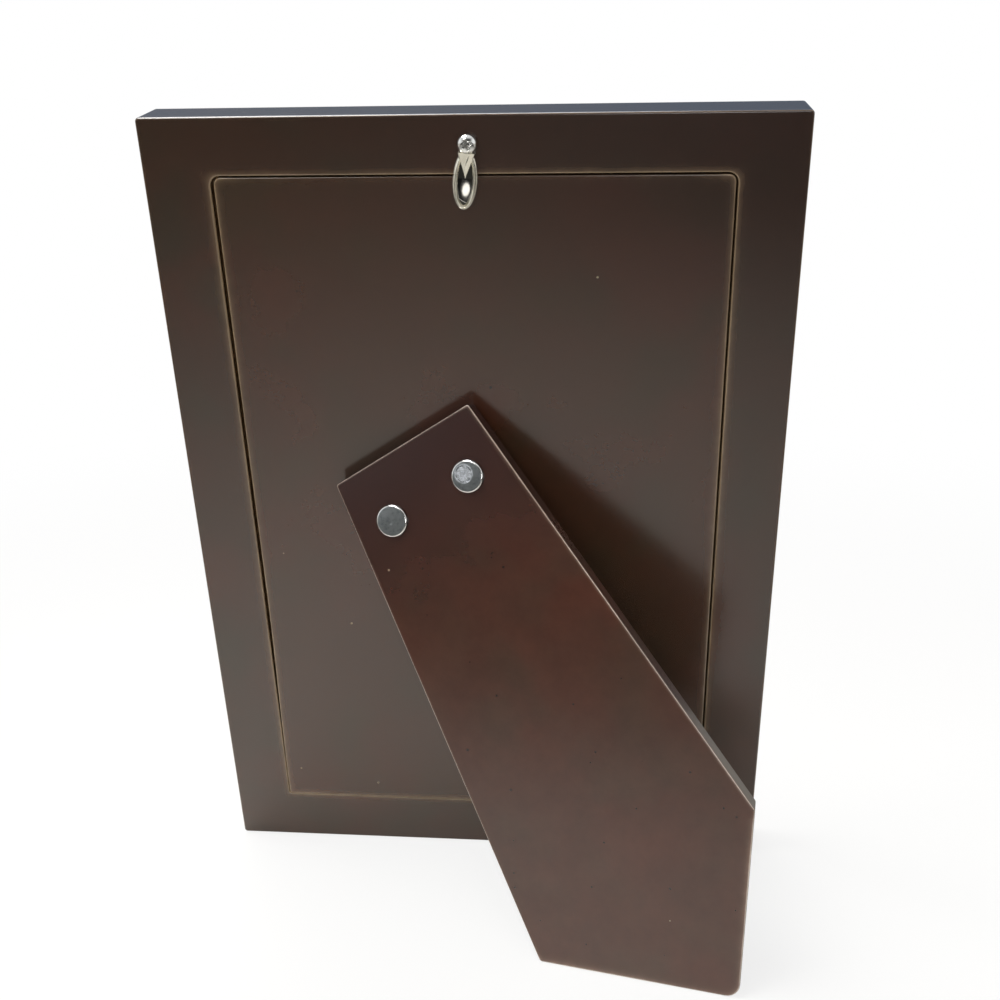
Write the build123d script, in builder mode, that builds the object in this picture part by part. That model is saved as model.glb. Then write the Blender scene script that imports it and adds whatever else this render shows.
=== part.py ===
from build123d import *
from math import cos, radians, sin, tan
import os

# Easel back photo frame for a 4 by 6 inch print, standing on its bottom edge and its open leg.
# Lengths in millimetres, angles in degrees. +Z is up and the picture looks along -Y.
# On the back, u runs to the right as seen from behind, v up the frame and n straight out of the back.

# Print and frame
photo_width = 101.6
photo_height = 152.4
photo_thickness = 0.3
photo_clearance = 0.5  # room round the print in its pocket
sight_lap = 3.25  # lip over each edge of the print
sight_bevel = 1.2
rail_width = 18.5  # as seen from the front
lip_thickness = 4.2
frame_corner_radius = 0.8
back_edge_round = 0.6
front_edge_round = 1.0

# Layers behind the lip
glass_thickness = 2.0
glass_clearance = 0.3  # glass to its pocket
card_thickness = 1.5
panel_thickness = 4.0

# Back panel in its opening
side_ledge = 1.1  # step round the pocket that the panel sits on
top_ledge = 3.7
panel_side_gap = 0.6
panel_top_gap = 0.35
panel_bottom_gap = 0.15
panel_push = 0.15  # the panel lies this far right of the middle
opening_top_radius = 2.0
opening_bottom_radius = 0.6
opening_round = 0.5  # rubbed edges of the opening and of the panel
tongue_length = 2.5
tongue_thickness = 1.5
tongue_inset = 8.0  # from the panel's sides
tongue_clearance = 0.3

# How the frame stands
lean_angle = 12.2  # of the back from upright, on its bottom edge
side_lean_angle = 8.6  # of the back from upright, on its side

# Easel leg
open_angle = 23.0
leg_thickness = 4.5
leg_margin = 4.2  # leg beside the hinge, at the pin
leg_flare = 6.3  # of each side
leg_top_radius = 0.6
leg_edge_round = 0.5
foot_corner_radius = 3.0
stop_clearance = 0.15  # top edge of the open leg to the panel

# Hinge
hinge_angle = 33.1  # pin from the level
hinge_u = -11.4
hinge_v = 106.9
pin_radius = 0.65
pin_clearance = 0.05
pin_head_radius = 1.15
pin_head_thickness = 0.5
pin_end_clearance = 0.05
knuckle_wall = 0.7
knuckle_clearance = 0.2  # knuckle to the panel and to the leg
knuckle_gap = 0.3  # between neighbouring knuckles
end_knuckle_length = 7.0
leaf_thickness = 0.7
leaf_corner_radius = 2.0
leg_rivet_drop = 5.7  # below the pin
panel_rivet_drop = 18.0
rivet_spacing = 20.2
rivet_edge = 4.4  # rivet centres to the edges of the leaves

# Rivets
rivet_shank_radius = 1.5
rivet_clearance = 0.05
rivet_head_radius = 3.35
rivet_head_height = 0.8
rivet_head_round = 0.35
panel_rivet_head_radius = 2.9
rivet_tail_radius = 2.3
rivet_tail_height = 0.7
tail_recess_clearance = 0.3

# Turn button and its screw
button_turn = 5.4  # left askew, clockwise as seen from behind
button_reach = 12.75  # screw to tip
button_thickness = 0.6
button_lift = 0.15  # over the back
button_pad_radius = 1.85
button_neck_width = 3.4
bowl_length = 11.5
bowl_width = 4.85
bowl_height = 1.2
bowl_rim = 0.75
bowl_draft = 0.35  # the bowl's walls lean in by this much
bowl_floor = 0.35
ridge_width = 3.2
ridge_crown = 1.6  # width of the ridge's top at the screw
ridge_height = 0.8
ridge_reach = 6.4  # screw to the ridge's tip in the bowl
ridge_tip_width = 0.5
ridge_tip_height = 0.3  # over the bowl's floor
head_clearance = 0.15  # bowl and ridge to the screw's head
screw_radius = 1.1
screw_clearance = 0.05
screw_length = 8.0  # in the rail
screw_point = 0.8
screw_head_radius = 2.0
screw_head_height = 1.5
screw_head_round = 0.8
recess_width = 0.55
recess_length = 2.3
recess_depth = 0.8

# Worked out sizes
frame_width = photo_width + 2 * (rail_width - sight_lap)
frame_height = photo_height + 2 * (rail_width - sight_lap)
window_width = photo_width - 2 * sight_lap
window_height = photo_height - 2 * sight_lap
pocket_width = photo_width + 2 * photo_clearance
pocket_height = photo_height + 2 * photo_clearance
layers_thickness = glass_thickness + photo_thickness + card_thickness
frame_thickness = lip_thickness + layers_thickness + panel_thickness
middle_v = frame_height / 2
opening_width = pocket_width + 2 * side_ledge
opening_bottom = middle_v - pocket_height / 2 - side_ledge
opening_top = middle_v + pocket_height / 2 + top_ledge
panel_width = opening_width - 2 * panel_side_gap
panel_bottom = opening_bottom + panel_bottom_gap
panel_top = opening_top - panel_top_gap
panel_height = panel_top - panel_bottom
panel_top_radius = opening_top_radius - panel_side_gap
tongue_width = panel_width - 2 * tongue_inset
screw_v = (opening_top + frame_height) / 2

knuckle_radius = pin_radius + pin_clearance + knuckle_wall
pin_height = knuckle_radius + knuckle_clearance  # over the panel, and under the leg's inner face
notch_reach = knuckle_radius + knuckle_gap
hinge_width = rivet_spacing + 2 * rivet_edge
middle_knuckle_length = hinge_width - 2 * (end_knuckle_length + knuckle_gap)
leg_half_width = hinge_width / 2 + leg_margin
leg_tail = (pin_height * (1 + cos(radians(open_angle))) - stop_clearance) / sin(radians(open_angle))
rivet_hole_radius = rivet_shank_radius + rivet_clearance
tail_recess_radius = rivet_tail_radius + tail_recess_clearance
tail_recess_depth = rivet_tail_height + tail_recess_clearance

bowl_center = bowl_length / 2 - button_reach  # from the screw, up the frame
button_top = button_lift + button_thickness


# Planes
def back_plane(rest_y):
    # Back face, from the middle of its bottom edge; the rounded edge touches the table at z = 0.
    lean = radians(lean_angle)
    sharp_edge_z = back_edge_round * (1 - cos(lean) - sin(lean))
    return Plane(origin=(0, rest_y, sharp_edge_z), x_dir=(-1, 0, 0), z_dir=(0, cos(lean), -sin(lean)))


def hinge_plane(back_face, angle):
    # Plane through the pin: x along the pin, y up the leg, z out of the leg when it is open by this angle.
    turn = radians(hinge_angle)
    swing = radians(angle)
    along = back_face.x_dir * cos(turn) + back_face.y_dir * sin(turn)
    down = back_face.x_dir * sin(turn) - back_face.y_dir * cos(turn)
    out = back_face.z_dir * cos(swing) - down * sin(swing)
    pin_point = back_face.from_local_coords(Vector(hinge_u, hinge_v, pin_height))
    return Plane(origin=pin_point, x_dir=along, z_dir=out)


def side_table_plane(back_face):
    # The table's plane when the frame stands on its side, with z out of the frame.
    lean = radians(side_lean_angle)
    edge = back_face.from_local_coords(Vector(frame_width / 2, 0, 0))
    return Plane(origin=edge, z_dir=back_face.x_dir * cos(lean) + back_face.z_dir * sin(lean))


def foot_corner(back_face, height):
    # Corner of the leg's foot, this far from its inner face.
    face = hinge_plane(back_face, open_angle).offset(pin_height + height)
    return face.intersect(Plane.XY).intersect(side_table_plane(back_face))


# The origin is under the middle of the box that the standing frame fills.
front_y = -frame_thickness * cos(radians(lean_angle))
foot_y = foot_corner(back_plane(0), leg_thickness).Y
back = back_plane(-(front_y + foot_y) / 2)
out_of_back = Axis(back.origin, back.z_dir)
shut = hinge_plane(back, 0)
leg = hinge_plane(back, open_angle)
pin_line = Plane(origin=leg.origin, z_dir=leg.x_dir)


def rectangle_from(bottom, width, height, middle=0):
    # Upright rectangle on the back, from this height up.
    with Locations((middle, bottom)):
        Rectangle(width, height, align=(Align.CENTER, Align.MIN))


def pair_of_circles(drop, radius):
    # Circles at the places of two rivets, this far below the pin.
    with Locations((0, -drop)):
        with GridLocations(rivet_spacing, 0, 2, 1):
            Circle(radius)


# Frame with its stepped rebate, tongue groove and screw hole
with BuildPart() as frame_body:
    with BuildSketch(back.offset(-frame_thickness)):
        with Locations((0, middle_v)):
            RectangleRounded(frame_width, frame_height, frame_corner_radius)
    extrude(amount=frame_thickness)
    with BuildSketch(back) as opening:
        rectangle_from(opening_bottom, opening_width, opening_top - opening_bottom)
        fillet(opening.vertices().group_by(Axis.Y)[-1], opening_top_radius)
        fillet(opening.vertices().group_by(Axis.Y)[0], opening_bottom_radius)
    extrude(amount=-panel_thickness, mode=Mode.SUBTRACT)
    with BuildSketch(back.offset(-panel_thickness)):
        with Locations((0, middle_v)):
            Rectangle(pocket_width, pocket_height)
    extrude(amount=-layers_thickness, mode=Mode.SUBTRACT)
    with BuildSketch(back.offset(-panel_thickness - layers_thickness)):
        with Locations((0, middle_v)):
            Rectangle(window_width, window_height)
    extrude(amount=-lip_thickness, mode=Mode.SUBTRACT)
    chamfer(frame_body.faces().sort_by(out_of_back)[0].inner_wires()[0].edges(), sight_bevel)
    fillet(frame_body.faces().sort_by(out_of_back)[0].outer_wire().edges(), front_edge_round)
    fillet(frame_body.faces().sort_by(out_of_back)[-1].outer_wire().edges(), back_edge_round)
    fillet(frame_body.faces().sort_by(out_of_back)[-1].inner_wires()[0].edges(), opening_round)
    with BuildSketch(back.offset(-panel_thickness)):
        groove_depth = tongue_length + tongue_clearance
        rectangle_from(opening_bottom - groove_depth, tongue_width + 2 * tongue_clearance, groove_depth)
    extrude(amount=tongue_thickness + tongue_clearance, mode=Mode.SUBTRACT)
    with BuildSketch(back):
        with Locations((0, screw_v)):
            Circle(screw_radius + screw_clearance)
    extrude(amount=-screw_length - screw_clearance, mode=Mode.SUBTRACT)

# Glass, print and card, laid in the pocket
with BuildPart() as glass_pane:
    with BuildSketch(back.offset(lip_thickness - frame_thickness)):
        with Locations((0, middle_v)):
            Rectangle(pocket_width - 2 * glass_clearance, pocket_height - 2 * glass_clearance)
    extrude(amount=glass_thickness)

with BuildPart() as photo_sheet:
    with BuildSketch(back.offset(-panel_thickness - card_thickness - photo_thickness)):
        with Locations((0, middle_v)):
            Rectangle(photo_width, photo_height)
    extrude(amount=photo_thickness)

with BuildPart() as backing_card:
    with BuildSketch(back.offset(-panel_thickness - card_thickness)):
        with Locations((0, middle_v)):
            Rectangle(photo_width, photo_height)
    extrude(amount=card_thickness)

# Back panel with its tongue and the recesses for the rivets' tails
with BuildPart() as back_panel:
    with BuildSketch(back.offset(-panel_thickness)) as panel_outline:
        rectangle_from(panel_bottom, panel_width, panel_height, panel_push)
        fillet(panel_outline.vertices().group_by(Axis.Y)[-1], panel_top_radius)
        fillet(panel_outline.vertices().group_by(Axis.Y)[0], opening_bottom_radius)
    extrude(amount=panel_thickness)
    fillet(back_panel.faces().sort_by(out_of_back)[-1].edges(), opening_round)
    with BuildSketch(back.offset(-panel_thickness)):
        rectangle_from(panel_bottom - tongue_length, tongue_width, tongue_length, panel_push)
    extrude(amount=tongue_thickness)
    with BuildSketch(shut.offset(-pin_height)):
        pair_of_circles(panel_rivet_drop, rivet_hole_radius)
    extrude(amount=-panel_thickness, mode=Mode.SUBTRACT)
    with BuildSketch(shut.offset(-pin_height - panel_thickness)):
        pair_of_circles(panel_rivet_drop, tail_recess_radius)
    extrude(amount=tail_recess_depth, mode=Mode.SUBTRACT)

# Easel leg, cut at the foot by the table in both ways of standing
with BuildPart() as easel_leg:
    with BuildSketch(leg.offset(pin_height)) as leg_outline:
        blank_length = frame_height
        top_half = leg_half_width - leg_tail * tan(radians(leg_flare))
        end_half = leg_half_width + blank_length * tan(radians(leg_flare))
        with BuildLine():
            Polyline(
                (-top_half, leg_tail),
                (top_half, leg_tail),
                (end_half, -blank_length),
                (-end_half, -blank_length),
                close=True,
            )
        make_face()
        fillet(leg_outline.vertices().group_by(Axis.Y)[-1], leg_top_radius)
    extrude(amount=leg_thickness)
    split(bisect_by=Plane.XY, keep=Keep.TOP)
    split(bisect_by=side_table_plane(back), keep=Keep.BOTTOM)
    corner_middle = foot_corner(back, leg_thickness / 2)
    foot_edge = easel_leg.edges().sort_by(lambda edge: (edge.center() - corner_middle).length)[0]
    fillet(foot_edge, foot_corner_radius)
    out_of_leg = Axis(leg.origin, leg.z_dir)
    fillet(easel_leg.faces().sort_by(out_of_leg)[-1].edges(), leg_edge_round)
    with BuildSketch(leg.offset(pin_height)):
        pair_of_circles(leg_rivet_drop, rivet_hole_radius)
    extrude(amount=leg_thickness, mode=Mode.SUBTRACT)


# Hinge leaves, rolled round the pin, with knuckles that interlock
def hinge_leaf(face, side, rivet_drop, middle_mode):
    # The leaf lies on this side of the pin, seen along the pin; middle_mode keeps or cuts the middle knuckle.
    across = Plane(origin=face.origin, x_dir=-face.y_dir, z_dir=-face.x_dir)
    length = rivet_drop + rivet_edge
    with BuildPart() as leaf:
        with BuildSketch(across):
            Circle(knuckle_radius)
            with Locations((0, side * (pin_height - leaf_thickness / 2))):
                Rectangle(length, leaf_thickness, align=(Align.MIN, Align.CENTER))
            Circle(pin_radius + pin_clearance, mode=Mode.SUBTRACT)
        extrude(amount=hinge_width / 2, both=True)
        with BuildSketch(face):
            if middle_mode == Mode.ADD:
                Rectangle(hinge_width, 2 * notch_reach)
                Rectangle(middle_knuckle_length, 2 * notch_reach, mode=Mode.SUBTRACT)
            else:
                Rectangle(middle_knuckle_length + 2 * knuckle_gap, 2 * notch_reach)
        extrude(amount=2 * pin_height, both=True, mode=Mode.SUBTRACT)
        with BuildSketch(face):
            pair_of_circles(rivet_drop, rivet_hole_radius)
        extrude(amount=2 * pin_height, both=True, mode=Mode.SUBTRACT)
        upright = leaf.edges().filter_by(Axis(face.origin, face.z_dir))
        fillet(upright.sort_by(Axis(face.origin, face.y_dir))[:2], leaf_corner_radius)
    return leaf


hinge_panel_leaf = hinge_leaf(shut, -1, panel_rivet_drop, Mode.SUBTRACT)
hinge_leg_leaf = hinge_leaf(leg, 1, leg_rivet_drop, Mode.ADD)

with BuildPart() as hinge_pin:
    pin_half = hinge_width / 2 + pin_end_clearance
    with BuildSketch(pin_line):
        Circle(pin_radius)
    extrude(amount=pin_half, both=True)
    with BuildSketch(pin_line.offset(pin_half), pin_line.offset(-pin_half - pin_head_thickness)):
        Circle(pin_head_radius)
    extrude(amount=pin_head_thickness)


# Rivets
def rivet_pair(seat, drop, head_radius, grip):
    # Two rivets with their heads on this plane and their tails this far behind it.
    out_of_seat = Axis(seat.origin, seat.z_dir)
    with BuildPart() as rivets:
        with BuildSketch(seat):
            pair_of_circles(drop, head_radius)
        extrude(amount=rivet_head_height)
        for head in rivets.faces().sort_by(out_of_seat)[-2:]:
            fillet(head.edges(), rivet_head_round)
        with BuildSketch(seat):
            pair_of_circles(drop, rivet_shank_radius)
        extrude(amount=-grip)
        with BuildSketch(seat.offset(-grip)):
            pair_of_circles(drop, rivet_tail_radius)
        extrude(amount=-rivet_tail_height)
    return rivets


leg_rivets = rivet_pair(
    leg.offset(pin_height + leg_thickness),
    leg_rivet_drop,
    rivet_head_radius,
    leg_thickness + leaf_thickness,
)
panel_rivets = rivet_pair(
    shut.offset(leaf_thickness - pin_height),
    panel_rivet_drop,
    panel_rivet_head_radius,
    leaf_thickness + panel_thickness - tail_recess_depth,
)

# Spoon-shaped turn button over the panel's top edge
screw_spot = Plane(origin=back.from_local_coords(Vector(0, screw_v, 0)), x_dir=back.x_dir, z_dir=back.z_dir)
button_across = back.x_dir * cos(radians(button_turn)) - back.y_dir * sin(radians(button_turn))
button_spot = Plane(origin=screw_spot.origin, x_dir=button_across, z_dir=back.z_dir)


def ridge_section(reach, width, crown, height):
    # Section of the ridge across the button, this far from the screw.
    base = button_spot.from_local_coords(Vector(0, -reach, button_lift))
    with BuildSketch(Plane(origin=base, x_dir=button_spot.x_dir, z_dir=-button_spot.y_dir)) as section:
        with BuildLine():
            Polyline((-width / 2, 0), (width / 2, 0), (crown / 2, height), (-crown / 2, height), close=True)
        make_face()
    return section.sketch


def bowl_ellipse(height, inset):
    # Outline of the bowl, drawn in by this much, at a height over the back.
    with BuildSketch(button_spot.offset(height)) as outline:
        with Locations((0, bowl_center)):
            Ellipse(bowl_width / 2 - inset, bowl_length / 2 - inset)
    return outline.sketch


with BuildPart() as turn_button:
    with BuildSketch(button_spot.offset(button_lift)):
        Circle(button_pad_radius)
        with Locations((0, bowl_center)):
            Rectangle(button_neck_width, -bowl_center, align=(Align.CENTER, Align.MIN))
    extrude(amount=button_thickness)
    rim_height = button_lift + bowl_height
    loft([bowl_ellipse(button_lift, 0), bowl_ellipse(rim_height, bowl_draft)])
    rim_inset = bowl_draft + bowl_rim
    loft(
        [bowl_ellipse(rim_height, rim_inset), bowl_ellipse(button_lift + bowl_floor, rim_inset + bowl_draft)],
        mode=Mode.SUBTRACT,
    )
    ridge_top = button_thickness + ridge_height
    tip_top = bowl_floor + ridge_tip_height
    loft(
        [
            ridge_section(screw_head_radius + head_clearance, ridge_width, ridge_crown, ridge_top),
            ridge_section(ridge_reach, ridge_tip_width, ridge_tip_width / 2, tip_top),
        ]
    )
    with BuildSketch(button_spot.offset(button_top)):
        Circle(screw_head_radius + head_clearance)
    extrude(amount=bowl_height, mode=Mode.SUBTRACT)
    with BuildSketch(button_spot):
        Circle(screw_radius + screw_clearance)
    extrude(amount=button_top, mode=Mode.SUBTRACT)

with BuildPart() as turn_button_screw:
    with BuildSketch(screw_spot.offset(button_top + screw_clearance)):
        Circle(screw_head_radius)
    extrude(amount=screw_head_height)
    fillet(turn_button_screw.faces().sort_by(out_of_back)[-1].edges(), screw_head_round)
    with BuildSketch(screw_spot.offset(button_top + screw_clearance + screw_head_height)):
        Rectangle(recess_length, recess_width)
        Rectangle(recess_width, recess_length)
    extrude(amount=-recess_depth, mode=Mode.SUBTRACT)
    with BuildSketch(screw_spot.offset(button_top + screw_clearance)):
        Circle(screw_radius)
    extrude(amount=-screw_length - button_top - screw_clearance)
    chamfer(turn_button_screw.faces().sort_by(out_of_back)[0].edges(), screw_point)

pieces = {
    "frame_body": frame_body,
    "glass_pane": glass_pane,
    "photo_sheet": photo_sheet,
    "backing_card": backing_card,
    "back_panel": back_panel,
    "easel_leg": easel_leg,
    "hinge_panel_leaf": hinge_panel_leaf,
    "hinge_leg_leaf": hinge_leg_leaf,
    "hinge_pin": hinge_pin,
    "leg_rivets": leg_rivets,
    "panel_rivets": panel_rivets,
    "turn_button": turn_button,
    "turn_button_screw": turn_button_screw,
}
os.makedirs("parts", exist_ok=True)
for name, piece in pieces.items():
    piece.part.label = name
    export_step(piece.part, f"parts/{name}.step")
    box = piece.part.bounding_box()
    print(name, len(piece.part.solids()), "solids", box.min, box.max)
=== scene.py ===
import bpy
import numpy as np
from mathutils import Matrix, Vector


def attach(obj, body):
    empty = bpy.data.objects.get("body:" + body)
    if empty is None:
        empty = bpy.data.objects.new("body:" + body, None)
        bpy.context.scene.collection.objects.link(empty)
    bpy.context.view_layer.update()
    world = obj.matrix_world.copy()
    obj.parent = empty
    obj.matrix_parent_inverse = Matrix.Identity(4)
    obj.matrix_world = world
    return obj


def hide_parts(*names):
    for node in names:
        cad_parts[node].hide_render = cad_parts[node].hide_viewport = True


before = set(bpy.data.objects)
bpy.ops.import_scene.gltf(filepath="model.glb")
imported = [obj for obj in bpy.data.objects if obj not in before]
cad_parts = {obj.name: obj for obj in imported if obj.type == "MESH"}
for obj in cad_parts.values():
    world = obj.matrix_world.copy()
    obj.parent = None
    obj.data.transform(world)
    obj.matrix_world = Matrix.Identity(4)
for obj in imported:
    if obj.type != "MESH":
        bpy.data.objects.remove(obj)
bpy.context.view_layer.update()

# Easel back photo frame, seen from behind. Shapes are worked out in millimetres and put into the meshes in
# metres. On the back, u runs to the right as seen from behind, v up the frame and n straight out of it.
toMetres = 0.001

standing = {
    "lean": 12.2,  # of the back from upright, degrees
    "restY": -23.661, "restZ": -0.113,  # bottom back edge, mm
}
hinge = {
    "u": -11.4, "v": 106.9, "n": 1.6,  # middle of the pin on the back
    "slant": 33.1,  # pin from the level, degrees
    "open": 23.0,  # leg from the back, degrees
}


# Cosine and sine of an angle in degrees.
def turnOf(degrees):
    return np.cos(np.radians(degrees)), np.sin(np.radians(degrees))


leanCos, leanSin = turnOf(standing["lean"])
slantCos, slantSin = turnOf(hinge["slant"])
openCos, openSin = turnOf(hinge["open"])
backOrigin = np.array([0.0, standing["restY"], standing["restZ"]])
backAxes = np.array([[-1, 0, 0], [0, leanSin, leanCos], [0, leanCos, -leanSin]])  # rows u, v, n
pinPoint = np.array([hinge["u"], hinge["v"], hinge["n"]])
pinPlace = pinPoint @ backAxes + backOrigin  # in the row frame, as the mesh is
alongPin = np.array([slantCos, slantSin, 0])  # in u, v, n
legDown = np.array([slantSin, -slantCos, 0])
legOut = np.array([0, 0, 1]) * openCos - legDown * openSin
legAxes = np.array([alongPin, np.cross(legOut, alongPin), legOut])  # rows along the pin, up and out


# Point of the back: the origin plus u, v and n times their directions.
def onBack(u, v, n):
    return np.stack(np.broadcast_arrays(u, v, n), -1) @ backAxes + backOrigin


# Point of the open leg: x along the pin, y up the leg, z out of it, from the middle of the pin.
def onLeg(x, y, z):
    local = np.stack(np.broadcast_arrays(x, y, z), -1) @ legAxes + pinPoint
    return local @ backAxes + backOrigin


# Smooth step from 0 at low to 1 at high, either way round.
def ease(low, high, value):
    t = np.clip((value - low) / (high - low), 0, 1)
    return t * t * (3 - 2 * t)


# Faces between neighbouring rows of a grid whose columns run round in a ring. The rows end in caps or join
# up in a ring of their own.
def ringFaces(rows, columns, joinRows):
    index = np.arange(rows * columns).reshape(rows, columns)
    upper = index if joinRows else index[:-1]
    lower = np.roll(index, -1, 0) if joinRows else index[1:]
    quads = np.stack([upper, np.roll(upper, -1, 1), np.roll(lower, -1, 1), lower], -1).reshape(-1, 4)
    caps = [] if joinRows else [index[0][::-1].tolist(), index[-1].tolist()]
    return quads, caps


# Six times the volume inside the quads, by the triple product of each half: below zero they face inwards.
def turnedIn(points, quads):
    a, b, c, d = (points[quads[:, k]] for k in range(4))
    return np.einsum("ij,ij", a, np.cross(b, c)) + np.einsum("ij,ij", a, np.cross(c, d)) < 0


# One piece from one or more grids of points in mm, each shaped rows x columns x 3, with marks per point.
def makePiece(name, grids, body, nodes, marks=None, joinRows=False, sharpAngle=40):
    allPoints, allFaces, start = [], [], 0
    for grid in grids:
        points = grid.reshape(-1, 3)
        quads, caps = ringFaces(*grid.shape[:2], joinRows)
        if turnedIn(points - points.mean(0), quads):
            quads, caps = quads[:, ::-1], [cap[::-1] for cap in caps]
        allFaces += (quads + start).tolist() + [[k + start for k in cap] for cap in caps]
        allPoints.append(points)
        start += len(points)
    mesh = bpy.data.meshes.new(name)
    mesh.from_pydata((np.concatenate(allPoints) * toMetres).tolist(), [], allFaces)
    for label, values in (marks or {}).items():
        layer = mesh.attributes.new(label, "FLOAT", "POINT")
        layer.data.foreach_set("value", np.concatenate([v.ravel() for v in values]).astype(np.float32))
    mesh.shade_smooth()
    mesh.set_sharp_from_angle(angle=np.radians(sharpAngle))
    mesh.validate()
    piece = bpy.data.objects.new(name, mesh)
    bpy.context.scene.collection.objects.link(piece)
    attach(piece, body)
    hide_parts(*nodes)
    print("made", name, len(mesh.polygons), "faces")
    return piece


# Rows along a straight side, as shares of its length, crowded towards both ends.
sideRows = np.array([0.008, 0.03, 0.08, 0.17, 0.32, 0.5, 0.68, 0.83, 0.92, 0.97, 0.992])[:, None]


# A profile softened at its corners: each corner becomes an arc that touches both its sides. Columns 0 and 1
# are inset and depth; the others are corner radii, which shrink with the inset. Gives its rows and the row
# at the middle of each corner.
def softProfile(stations, rounds, closed, arcSteps=6):
    stations = np.asarray(stations, float)
    sweep = np.linspace(0, 1, arcSteps + 1)[:, None]
    blocks = []
    for k, here in enumerate(stations):
        block = here[None]
        if rounds[k] > 0:
            before, after = stations[k - 1], stations[(k + 1) % len(stations)]
            p = (before - here)[:2] / np.linalg.norm((before - here)[:2])
            q = (after - here)[:2] / np.linalg.norm((after - here)[:2])
            half = np.arccos(np.clip(p @ q, -1, 1)) / 2
            turn = np.pi - 2 * half
            middle = (p + q) / np.linalg.norm(p + q) * rounds[k] / np.sin(half)
            first, last = p * rounds[k] / np.tan(half) - middle, q * rounds[k] / np.tan(half) - middle
            arc = (np.sin((1 - sweep) * turn) * first + np.sin(sweep * turn) * last) / np.sin(turn) + middle
            block = np.repeat(block, arcSteps + 1, 0)
            block[:, :2] += arc
            block[:, 2:] -= arc[:, :1]
        blocks.append(block)
    rows, edges = [], []
    for k, block in enumerate(blocks):
        edges.append(sum(map(len, rows)) + len(block) // 2)
        rows.append(block)
        if k + 1 < len(blocks) or closed:
            onward = blocks[(k + 1) % len(blocks)][0]
            rows.append(block[-1] + (onward - block[-1]) * sideRows)
    return np.concatenate(rows), np.array(edges)


# Profile of a flat slab, from an inset on one face, over its edge, to the same inset on the other face.
def slabProfile(flat, outer, inner, radii, rounds):
    corners = ((flat, outer), (0, outer), (0, inner), (flat, inner))
    return softProfile([[inset, depth, *radii] for inset, depth in corners], [0, *rounds, 0], False)


# Distance of each row of a profile from the nearest of its rubbed corners, along the profile.
def rubDistance(profile, rubbed):
    along = np.concatenate([[0], np.cumsum(np.linalg.norm(np.diff(profile[:, :2], axis=0), axis=1))])
    return np.abs(along[:, None] - along[rubbed][None]).min(1)


# A convex outline as lines that face these angles at these distances from the middle: each corner is an arc
# about the point that lies one radius inside both of its lines, and straight runs join the arcs.
def roundedLoop(facing, reach, radius, arcSteps=6, sideSteps=16):
    facing = np.radians(facing)
    onward = np.roll(facing, -1)
    a, b = reach - radius, np.roll(reach, -1, 1) - radius
    spread = np.sin(onward - facing)
    middleX = (a * np.sin(onward) - b * np.sin(facing)) / spread
    middleY = (b * np.cos(facing) - a * np.cos(onward)) / spread
    angles = facing[:, None] + ((onward - facing) % (2 * np.pi))[:, None] * np.linspace(0, 1, arcSteps + 1)
    x = middleX[:, :, None] + radius[:, :, None] * np.cos(angles)
    y = middleY[:, :, None] + radius[:, :, None] * np.sin(angles)
    step = np.linspace(0, 1, sideSteps + 1)[1:-1]

    def withSides(value):
        side = value[:, :, -1:] * (1 - step) + np.roll(value[:, :, :1], -1, 1) * step
        return np.concatenate([value, side], 2).reshape(len(value), -1)

    return withSides(x), withSides(y)


leastRadius = 0.05  # of a rectangle's corner, mm


# Every row of a profile as a rounded rectangle at its inset and depth: right, top, left and bottom reach,
# each with a share of its own shift.
def railLoop(profile, width, bottom, top, share, shifts):
    inset, radiusTop, radiusBottom = profile[:, 0], profile[:, 2], profile[:, 3]
    reach = np.stack([width / 2 - inset, top - inset, width / 2 - inset, -(bottom + inset)], 1)
    reach = reach + np.reshape(share, (-1, 1)) * np.array([shifts])
    radius = np.maximum(np.stack([radiusTop, radiusTop, radiusBottom, radiusBottom], 1), leastRadius)
    x, y = roundedLoop([0, 90, 180, 270], reach, radius)
    return x, y, profile[:, 1:2] + 0 * x


# The same mark all round each row.
def roundMarks(columns, **rows):
    return {name: [np.repeat(value[:, None], columns, 1)] for name, value in rows.items()}


frameBody = {
    "width": 132.1, "height": 182.9, "thickness": 12.0,
    "cornerRadius": 0.8, "backRound": 0.45, "frontRound": 1.0,
    "openingSide": 13.65,  # rail round the opening, as seen from behind
    "openingShifts": (0.2, 2.15, 0.0, 0.0),  # right, top, left and bottom of the opening, outwards
    "openingTopRadius": 2.0, "openingBottomRadius": 0.6, "lipRound": 0.35, "openingDepth": 4.0,
    "pocketSide": 14.75, "pocketDepth": 7.8, "pocketRound": 0.15,
    "sightSide": 18.5, "sightBevel": 1.2, "sightRound": 0.3,
    "innerRadius": 0.3,
    "bareFrom": 0.9, "bareTo": 1.6,  # depth at which the opening's wall is no longer lacquered
}


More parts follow.
